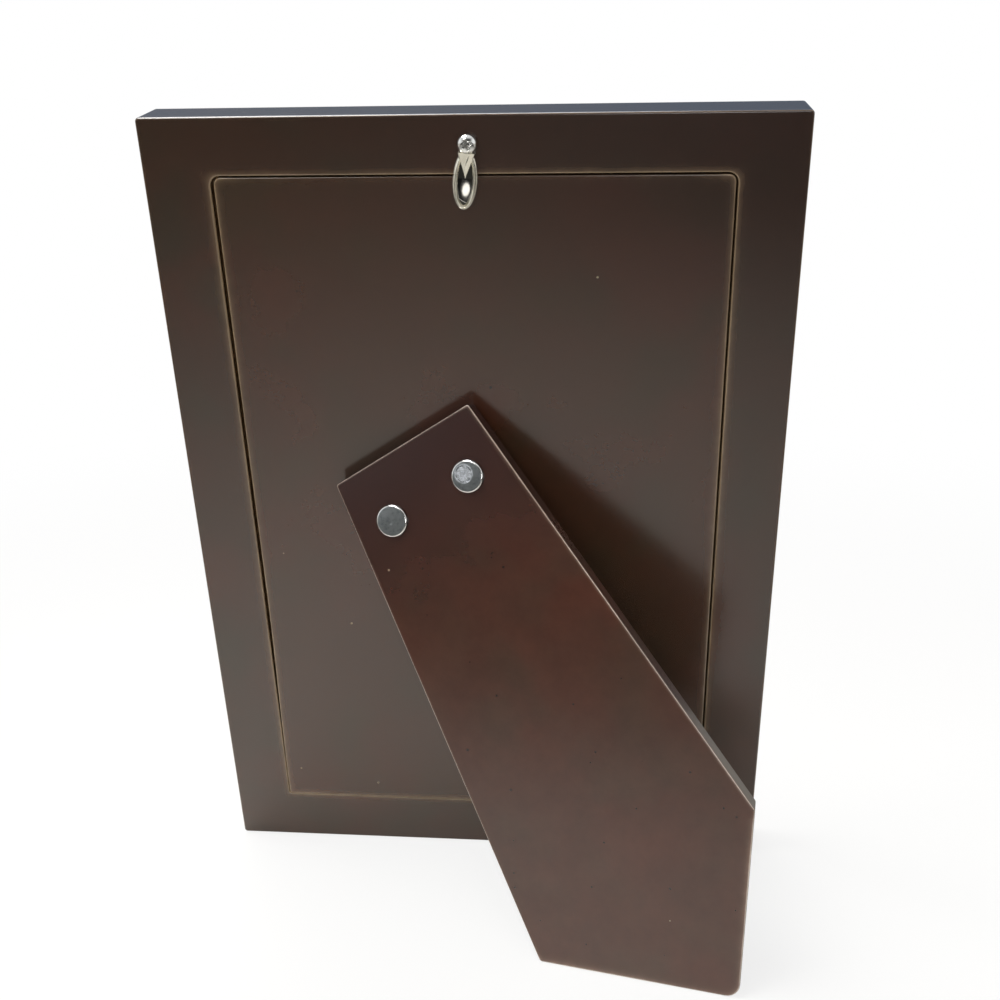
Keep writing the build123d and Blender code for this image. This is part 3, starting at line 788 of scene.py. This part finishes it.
espresso = {
    "colour": (0.045, 0.021, 0.0115, 1), "warm": (0.060, 0.020, 0.0105, 1), "cool": (0.036, 0.023, 0.0125, 1),
    "clouds": 36.0, "cloudAmount": 0.9, "mottle": 0.25, "roughness": 0.22, "coatRoughness": 0.17,
    "bump": 0.06, "bumpHeight": 0.0002,
    "rubbed": (0.22, 0.145, 0.08, 1), "rubbedRougher": 0.12, "bare": (0.26, 0.18, 0.10, 1),
    "edges": {"lip": (0.48, 0.95), "rim": (0.2, 0.3)},  # fade in mm and amount
    "raw": (0.34, 0.19, 0.08, 1), "rawMark": "bare", "rawRougher": 0.5,  # where there is no lacquer
    "fibres": (1500.0, 4.0, 0.7), "fibreBand": (0.3, 0.7), "fibreLeast": 0.55,
    "upper": (0.026, 0.0125, 0.0085, 1), "paintedShadeShare": 0.85, "paintedShadeSpan": (110.0, 195.0),  # painted shade, darker there, mm
    # painted shade on the raw board too, over its own span
    "rawPaintedShade": (0.24, 0.135, 0.06, 1), "rawPaintedShadeSpan": (110.0, 195.0),
    "paintedShadeStart": backOrigin, "paintedShadeWay": backAxes[1] * 0.857 + backAxes[0] * 0.515,  # the painted shade deepens towards the top right
    "dust": (0.30, 0.25, 0.17, 1), "dustScale": 110.0, "dustShare": 0.6, "dustSize": 0.022,
    "pit": (0.012, 0.008, 0.007, 1), "pitScale": 300.0, "pitShare": 0.08, "pitSize": 0.07,
}
panelLacquer = dict(
    espresso,
    colour=(0.051, 0.021, 0.0105, 1), warm=(0.064, 0.020, 0.0095, 1), cool=(0.042, 0.024, 0.0115, 1),
    clouds=30.0, dustShare=0.8, edges={"lip": (0.45, 0.95)})
mahogany = dict(
    espresso,
    colour=(0.064, 0.0245, 0.015, 1), warm=(0.074, 0.0235, 0.0135, 1), cool=(0.056, 0.027, 0.0165, 1),
    # the leg's light bare colour on its rubbed edges is partly a painted highlight
    clouds=38.0, mottle=0.7, rubbed=(0.30, 0.21, 0.15, 1), bare=(0.66, 0.54, 0.47, 1),
    edges={"rim": (0.12, 1.0)}, raw=(0.14, 0.125, 0.095, 1), rawMark="side",
    upper=(0.030, 0.011, 0.0095, 1), paintedShadeSpan=(-36.0, 8.0),  # painted shade, darker towards the hinge, mm up the leg
    # painted shade: the leg's side face darkens towards the top
    rawPaintedShade=(0.02, 0.011, 0.007, 1), rawPaintedShadeSpan=(-86.0, -60.0),
    paintedShadeStart=pinPlace, paintedShadeWay=legAxes[1] @ backAxes,
    dustShare=0.3, pitShare=0.5, pit=(0.030, 0.012, 0.009, 1))


# Clouded lacquer with painted shade that darkens it along one way of the piece, rubbed along its edges down
# to the board, on the leg's edges also a painted highlight, with bare fibreboard where the piece is marked
# raw, and a few specks of dust and pits over it all.
def lacquerMaterial(name, v):
    material, tree, shader, where = startMaterial(name)
    clouds = useGroup(tree, lacquerClouds, Where=where, Colour=v["colour"], Warm_Colour=v["warm"],
                      Cool_Colour=v["cool"], Cloud_Scale=v["clouds"], Cloud_Amount=v["cloudAmount"],
                      Mottle=v["mottle"], Roughness=v["roughness"])
    tone, rough = clouds["Colour"], clouds["Roughness"]
    along = addNode(tree, "ShaderNodeVectorMath", {1: v["paintedShadeWay"] / toMetres}, operation="DOT_PRODUCT")
    feed(tree, along.inputs[0], where)
    start = v["paintedShadeStart"] @ v["paintedShadeWay"]
    # painted shade: the lacquer and the raw board darken along the piece's way, where less light falls
    upper = remap(tree, along.outputs["Value"], *(np.array(v["paintedShadeSpan"]) + start))
    rawPaintedShade = remap(tree, along.outputs["Value"], *(np.array(v["rawPaintedShadeSpan"]) + start))
    tone = mixColour(tree, times(tree, upper, v["paintedShadeShare"]), tone, v["upper"])
    for edge, (fade, amount) in v["edges"].items():
        rub = useGroup(tree, edgeRub, Where=where, Distance=marked(tree, edge), Fade=fade, Amount=amount)
        tone = mixColour(tree, rub["Rubbed"], tone, v["rubbed"])
        tone = mixColour(tree, rub["Bare"], tone, v["bare"])
        rough = plus(tree, rough, times(tree, rub["Rubbed"], v["rubbedRougher"]))
    fibres = remap(tree, noise(tree, where, *v["fibres"]), *v["fibreBand"])
    worn = times(tree, marked(tree, v["rawMark"]), remap(tree, fibres, 0.0, 1.0, v["fibreLeast"], 1.0))
    tone = mixColour(tree, worn, tone, mixColour(tree, rawPaintedShade, v["raw"], v["rawPaintedShade"]))
    rough = plus(tree, rough, times(tree, worn, v["rawRougher"]))
    for speck in ("dust", "pit"):
        specks = useGroup(tree, dustSpecks, Where=where, Scale=v[speck + "Scale"], Size=v[speck + "Size"],
                          Share=v[speck + "Share"])
        tone = mixColour(tree, specks["Dust"], tone, v[speck])
    feed(tree, shader.inputs["Base Color"], tone)
    feed(tree, shader.inputs["Roughness"], rough)
    feed(tree, shader.inputs["Coat Weight"], less(tree, 1.0, worn, True))
    shader.inputs["Coat Roughness"].default_value = v["coatRoughness"]
    addBump(tree, shader, clouds["Height"], v["bump"], v["bumpHeight"])
    return material


nickel = {
    "colour": (0.88, 0.85, 0.74, 1), "tarnish": (0.70, 0.66, 0.50, 1), "tarnishAmount": 0.35,
    "roughness": 0.12, "clouds": 500.0, "bump": 0.05, "bumpHeight": 0.0001,
    "dish": (0.20, 0.19, 0.17, 1), "matte": 0.14,  # dish is the colour of the painted shade; matte is left out in the dish
}
screwNickel = dict(nickel, colour=(0.86, 0.86, 0.84, 1), tarnish=(0.62, 0.64, 0.64, 1), matte=0.0)
zinc = {
    "colour": (0.44, 0.47, 0.48, 1), "tarnish": (0.20, 0.23, 0.24, 1), "tarnishAmount": 0.7,
    "roughness": 0.34, "clouds": 900.0, "bump": 0.12, "bumpHeight": 0.0001,
    "rim": (0.92, 0.92, 0.90, 1), "rimBand": (0.88, 0.93), "rimRoughness": 0.16,  # of the head's radius
    # painted shade: the head's side wall is darkened
    "wall": (0.10, 0.11, 0.11, 1), "wallShadeBand": (0.985, 1.0),
    "grain": (3000.0, 3.0, 0.7), "grainBand": (0.4, 0.6), "grainLeast": 0.2,
    "scuff": (0.70, 0.73, 0.80, 1), "scuffShare": 0.75, "scuffBand": (1.25, 1.1),  # of the spot's radius
    "scuffMatte": 0.6, "scuffRougher": 0.25,
    "dark": (0.08, 0.09, 0.10, 1), "darkShare": 0.85, "darkInner": (0.86, 0.93), "darkOuter": (1.06, 0.98),
    "breaks": (1500.0, 2.0, 0.5), "breakBand": (0.45, 0.55),
}
hingeSteel = {
    "colour": (0.50, 0.50, 0.50, 1), "tarnish": (0.28, 0.27, 0.26, 1), "tarnishAmount": 0.6,
    "roughness": 0.36, "clouds": 500.0, "bump": 0.08, "bumpHeight": 0.0001,
}


def platedTone(tree, where, v):
    marks = useGroup(tree, platingMarks, Where=where, Roughness=v["roughness"], Cloud_Scale=v["clouds"])
    share = times(tree, marks["Tarnish"], v["tarnishAmount"])
    return marks, mixColour(tree, share, v["colour"], v["tarnish"])


def finishMetal(tree, shader, v, tone, rough, height, metallic=1.0):
    for label, value in (("Base Color", tone), ("Roughness", rough), ("Metallic", metallic)):
        feed(tree, shader.inputs[label], value)
    addBump(tree, shader, height, v["bump"], v["bumpHeight"])


# Bright plate with painted shade where it is marked dish: the button's dish and crease and the screw's cross.
def nickelMaterial(name, v):
    material, tree, shader, where = startMaterial(name)
    marks, tone = platedTone(tree, where, v)
    dish = marked(tree, "dish")
    tone = mixColour(tree, dish, tone, v["dish"])
    metallic = remap(tree, dish, 0.0, 1.0, 1.0 - v["matte"], 1.0)
    finishMetal(tree, shader, v, tone, marks["Roughness"], marks["Height"], metallic)
    return material


# Dull faces with polished rims, painted shade on the heads' side walls, and a grainy hammered spot with a
# broken dark ring.
def zincMaterial(v):
    material, tree, shader, where = startMaterial("zincPlate")
    marks, tone = platedTone(tree, where, v)
    ring, away = marked(tree, "ring"), marked(tree, "scuff")
    rim = remap(tree, ring, *v["rimBand"])
    grain = noise(tree, where, *v["grain"])
    grainy = remap(tree, grain, *v["grainBand"], v["grainLeast"], 1.0)
    spot = times(tree, remap(tree, away, *v["scuffBand"]), grainy)
    lines = times(tree, remap(tree, away, *v["darkInner"]), remap(tree, away, *v["darkOuter"]))
    broken = times(tree, lines, remap(tree, noise(tree, where, *v["breaks"]), *v["breakBand"]))
    tone = mixColour(tree, times(tree, spot, v["scuffShare"]), tone, v["scuff"])
    tone = mixColour(tree, times(tree, broken, v["darkShare"]), tone, v["dark"])
    tone = mixColour(tree, rim, tone, v["rim"])
    # painted shade on the side wall
    tone = mixColour(tree, remap(tree, ring, *v["wallShadeBand"]), tone, v["wall"])
    rough = plus(tree, marks["Roughness"], times(tree, spot, v["scuffRougher"]))
    rough = less(tree, rough, times(tree, rim, v["roughness"] - v["rimRoughness"]))
    height = plus(tree, marks["Height"], times(tree, spot, grain))
    metallic = less(tree, 1.0, times(tree, spot, v["scuffMatte"]))
    finishMetal(tree, shader, v, tone, rough, height, metallic)
    return material


def steelMaterial(v):
    material, tree, shader, where = startMaterial("hingeSteel")
    marks, tone = platedTone(tree, where, v)
    finishMetal(tree, shader, v, tone, marks["Roughness"], marks["Height"])
    return material


glass = {
    "colour": (0.96, 0.985, 0.975, 1), "bending": 1.5,
    "smear": (70.0, 4.0, 0.6), "smearBand": (0.45, 0.75), "smearRoughness": 0.035,
}


# Clear glass with faint smears. Light falls through it to the print.
def glassMaterial(v):
    material, tree, shader, where = startMaterial("clearGlass")
    shader.inputs["Base Color"].default_value = v["colour"]
    shader.inputs["Transmission Weight"].default_value = 1.0
    shader.inputs["IOR"].default_value = v["bending"]
    smear = remap(tree, noise(tree, where, *v["smear"]), *v["smearBand"], 0.0, v["smearRoughness"])
    feed(tree, shader.inputs["Roughness"], smear)
    light = tree.nodes.new("ShaderNodeLightPath").outputs
    lit = math(tree, "MAXIMUM", light["Is Shadow Ray"], light["Is Diffuse Ray"])
    feed(tree, shader.inputs["Alpha"], less(tree, 1.0, lit))
    return material


printPaper = {
    "colour": (0.86, 0.85, 0.82, 1), "fibre": (0.80, 0.79, 0.76, 1),
    "roughness": 0.35, "roughnessChange": 0.05,
    "grain": (1800.0, 4.0, 0.7), "grainBand": (0.3, 0.7), "broad": (30.0, 3.0, 0.5),
    "bump": 0.1, "bumpHeight": 0.0001,
}
greyCard = dict(printPaper, colour=(0.46, 0.43, 0.38, 1), fibre=(0.34, 0.32, 0.28, 1), roughness=0.8)


# Two tones mixed by the mean of a fine and a broad noise, with the fine one as relief.
def paperMaterial(name, v):
    material, tree, shader, where = startMaterial(name)
    grain = noise(tree, where, *v["grain"])
    share = times(tree, plus(tree, grain, noise(tree, where, *v["broad"])), 1 / 2)
    feed(tree, shader.inputs["Base Color"], mixColour(tree, share, v["colour"], v["fibre"]))
    smooth, coarse = v["roughness"] - v["roughnessChange"], v["roughness"] + v["roughnessChange"]
    feed(tree, shader.inputs["Roughness"], remap(tree, grain, *v["grainBand"], smooth, coarse))
    addBump(tree, shader, grain, v["bump"], v["bumpHeight"])
    return material


def giveMaterial(thing, material):
    thing.data.materials.clear()
    thing.data.materials.append(material)


giveMaterial(buildFrameBody(frameBody), lacquerMaterial("espressoLacquer", espresso))
giveMaterial(buildBackPanel(backPanel), lacquerMaterial("panelLacquer", panelLacquer))
giveMaterial(buildEaselLeg(easelLeg), lacquerMaterial("mahoganyLacquer", mahogany))
zincPlate, steelPlate = zincMaterial(zinc), steelMaterial(hingeSteel)
for pair in buildRivets(rivets):
    giveMaterial(pair, zincPlate)
giveMaterial(buildTurnButton(turnButton), nickelMaterial("buttonNickel", nickel))
giveMaterial(buildButtonScrew(buttonScrew), nickelMaterial("screwNickel", screwNickel))
for name in ("hinge_panel_leaf", "hinge_leg_leaf", "hinge_pin"):
    giveMaterial(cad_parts[name], steelPlate)
giveMaterial(buildLayer("glassPane", "glass_pane"), glassMaterial(glass))
giveMaterial(buildLayer("photoSheet", "photo_sheet"), paperMaterial("printPaper", printPaper))
giveMaterial(buildLayer("backingCard", "backing_card"), paperMaterial("greyCard", greyCard))
print("materials done")


studio = {
    "floorSize": 8.0, "floorDrop": 0.0001, "floorColour": (0.87, 0.86, 0.83, 1),
    "whiteNear": 0.82, "whiteBand": (0.05, 0.6),  # share of pure white to the camera, from near to far
    "poolRadius": 0.5, "poolPower": 1.5, "poolLow": 0.08,  # how the painted pool of light fades in reflections
    "poolColour": (1.0, 0.90, 0.76, 1), "poolShare": 0.18,  # its own glow; the rest of it carries the shadows
    "paintedShadowAcross": (0.08, -0.12), "paintedShadowBehind": (0.24, 0.40), "paintedShadowAmount": 0.65,  # a painted shadow in one corner
    "sideSlant": 1.2, "sideStart": (0.2, 0.5),  # painted light: the floor far to the sides is bright again
    "ambient": 0.30,
    "behindGlow": 0.07, "sideGlow": 0.9, "topGlow": 0.8, "frontGlow": 0.16,  # the room in reflections
    "sideBand": (0.42, 0.88), "topBand": (0.45, 0.85), "frontBand": (0.1, -0.6),  # by the way to it
    "frontColour": (0.72, 0.93, 1.22, 1), "white": (1, 1, 1, 1), "black": (0, 0, 0, 1),
}


# The floor is white to the camera but for the object's shadow. In reflections it is a painted pool of light
# that fades with the distance from the object, with a painted shadow in one corner and painted bright sides.
def buildFloor(v):
    size = v["floorSize"] / 2
    corners = [(-size, -size, 0), (size, -size, 0), (size, size, 0), (-size, size, 0)]
    mesh = bpy.data.meshes.new("floor")
    mesh.from_pydata(corners, [], [(0, 1, 2, 3)])
    floor = bpy.data.objects.new("floor", mesh)
    bpy.context.scene.collection.objects.link(floor)
    floor.location.z = -v["floorDrop"]
    material = bpy.data.materials.new("whiteFloor")
    material.use_nodes = True
    tree = material.node_tree
    tree.nodes.clear()
    length = addNode(tree, "ShaderNodeVectorMath", operation="LENGTH")
    place = tree.nodes.new("ShaderNodeTexCoord").outputs["Object"]
    feed(tree, length.inputs[0], place)
    far = length.outputs["Value"]
    near = less(tree, 1.0, math(tree, "DIVIDE", far, v["poolRadius"]), True)
    pool = times(tree, math(tree, "POWER", near, v["poolPower"]), 1.0 - v["poolLow"])
    pool = plus(tree, pool, v["poolLow"])
    spot = addNode(tree, "ShaderNodeSeparateXYZ")
    feed(tree, spot.inputs[0], place)
    x, y = spot.outputs["X"], spot.outputs["Y"]
    # painted shadow in one corner of the pool
    dim = times(tree, remap(tree, x, *v["paintedShadowAcross"]), remap(tree, y, *v["paintedShadowBehind"]))
    pool = times(tree, pool, less(tree, 1.0, times(tree, dim, v["paintedShadowAmount"])))
    aside = less(tree, math(tree, "ABSOLUTE", x), times(tree, y, v["sideSlant"]))
    pool = math(tree, "MAXIMUM", pool, remap(tree, aside, *v["sideStart"], 0.0, v["sideGlow"]))
    light = tree.nodes.new("ShaderNodeLightPath").outputs
    glossy = light["Is Glossy Ray"]
    seen = math(tree, "MAXIMUM", light["Is Camera Ray"], light["Is Transmission Ray"])
    strength = plus(tree, seen, times(tree, glossy, pool), True)
    white = times(tree, seen, remap(tree, far, *v["whiteBand"], v["whiteNear"], 1.0))
    share = plus(tree, white, times(tree, glossy, v["poolShare"]), True)
    matte = tree.nodes.new("ShaderNodeBsdfDiffuse")
    fade = times(tree, glossy, less(tree, 1.0, pool))
    feed(tree, matte.inputs["Color"], mixColour(tree, fade, v["floorColour"], v["black"]))
    glow = tree.nodes.new("ShaderNodeEmission")
    feed(tree, glow.inputs["Color"], mixColour(tree, glossy, v["white"], v["poolColour"]))
    feed(tree, glow.inputs["Strength"], strength)
    mix = tree.nodes.new("ShaderNodeMixShader")
    for socket, value in zip(mix.inputs, (share, matte.outputs[0], glow.outputs[0])):
        feed(tree, socket, value)
    feed(tree, tree.nodes.new("ShaderNodeOutputMaterial").inputs["Surface"], mix.outputs[0])
    giveMaterial(floor, material)


# White to the camera. In reflections the room is bright at the sides and overhead, dim and bluish in front of
# the frame and dark behind the camera; everything else gets a plain ambient light.
def buildWorld(v):
    world = bpy.data.worlds.new("studio")
    bpy.context.scene.world = world
    world.use_nodes = True
    tree = world.node_tree
    tree.nodes.clear()
    light = tree.nodes.new("ShaderNodeLightPath").outputs
    way = addNode(tree, "ShaderNodeSeparateXYZ")
    feed(tree, way.inputs[0], tree.nodes.new("ShaderNodeTexCoord").outputs["Generated"])
    side = remap(tree, math(tree, "ABSOLUTE", way.outputs["X"]), *v["sideBand"], 0.0, v["sideGlow"])
    top = remap(tree, way.outputs["Z"], *v["topBand"], 0.0, v["topGlow"])
    inFront = remap(tree, way.outputs["Y"], *v["frontBand"])
    depth = remap(tree, inFront, 0.0, 1.0, v["behindGlow"], v["frontGlow"])
    room = math(tree, "MAXIMUM", math(tree, "MAXIMUM", side, top), depth)
    seen = math(tree, "MAXIMUM", light["Is Camera Ray"], light["Is Transmission Ray"])
    glossy = light["Is Glossy Ray"]
    plain = less(tree, 1.0, plus(tree, seen, glossy, True))
    strength = plus(tree, seen, times(tree, glossy, room), True)
    strength = plus(tree, strength, times(tree, plain, v["ambient"]))
    tint = times(tree, times(tree, inFront, glossy), less(tree, 1.0, side, True))
    sky = tree.nodes.new("ShaderNodeBackground")
    feed(tree, sky.inputs["Color"], mixColour(tree, tint, v["white"], v["frontColour"]))
    feed(tree, sky.inputs["Strength"], strength)
    feed(tree, tree.nodes.new("ShaderNodeOutputWorld").inputs["Surface"], sky.outputs[0])


lamps = {
    "key": {"place": (0.30, 0.12, 0.80), "aim": (0.03, 0.0, 0.0), "size": (0.44, 0.44), "watts": 0.70,
            "spread": 55, "colour": (1.0, 0.99, 0.97)},
    "behind": {"place": (0.55, 1.10, 0.95), "aim": (0.0, 0.0, 0.09), "size": (0.6, 0.6), "watts": 3.0,
               "spread": 180, "colour": (1.0, 0.98, 0.95)},
    "window": {"place": (-0.13, 0.95, 0.13), "aim": (0.0, 0.01, 0.17), "size": (0.26, 0.23), "watts": 0.9,
               "spread": 180, "colour": (1.0, 1.0, 1.0)},
    "front": {"place": (0.30, -0.70, 1.30), "aim": (0.0, 0.0, 0.09), "size": (0.9, 0.9), "watts": 8.5,
              "spread": 180, "colour": (1.0, 0.99, 0.97)},
}


def buildLamps(rows):
    for name, v in rows.items():
        lamp = bpy.data.lights.new(name, "AREA")
        lamp.shape = "ELLIPSE"
        lamp.size, lamp.size_y = v["size"]
        lamp.energy = v["watts"]
        lamp.spread = np.radians(v["spread"])
        lamp.color = v["colour"]
        holder = bpy.data.objects.new(name, lamp)
        holder.location = v["place"]
        holder.rotation_euler = (Vector(v["aim"]) - Vector(v["place"])).to_track_quat("-Z", "Y").to_euler()
        holder.visible_camera = False
        bpy.context.scene.collection.objects.link(holder)


cameraView = {
    "place": (-0.02745, 0.256725, 0.164818),
    "right": (-0.99621, -0.08668, -0.00670),
    "up": (0.01530, -0.25059, 0.96797),
    "lens": 43.35, "sensor": 36.0, "clipStart": 0.01,
}


def buildCamera(v):
    lens = bpy.data.cameras.new("photoView")
    lens.lens, lens.sensor_width = v["lens"], v["sensor"]
    lens.clip_start = v["clipStart"]
    camera = bpy.data.objects.new("photoView", lens)
    right = Vector(v["right"]).normalized()
    back = right.cross(Vector(v["up"])).normalized()
    turned = Matrix((right, back.cross(right), back)).transposed()
    camera.matrix_world = Matrix.Translation(v["place"]) @ turned.to_4x4()
    bpy.context.scene.collection.objects.link(camera)
    bpy.context.scene.camera = camera


buildFloor(studio)
buildWorld(studio)
buildLamps(lamps)
buildCamera(cameraView)
bpy.context.scene.view_settings.view_transform = "Standard"
print("studio done")
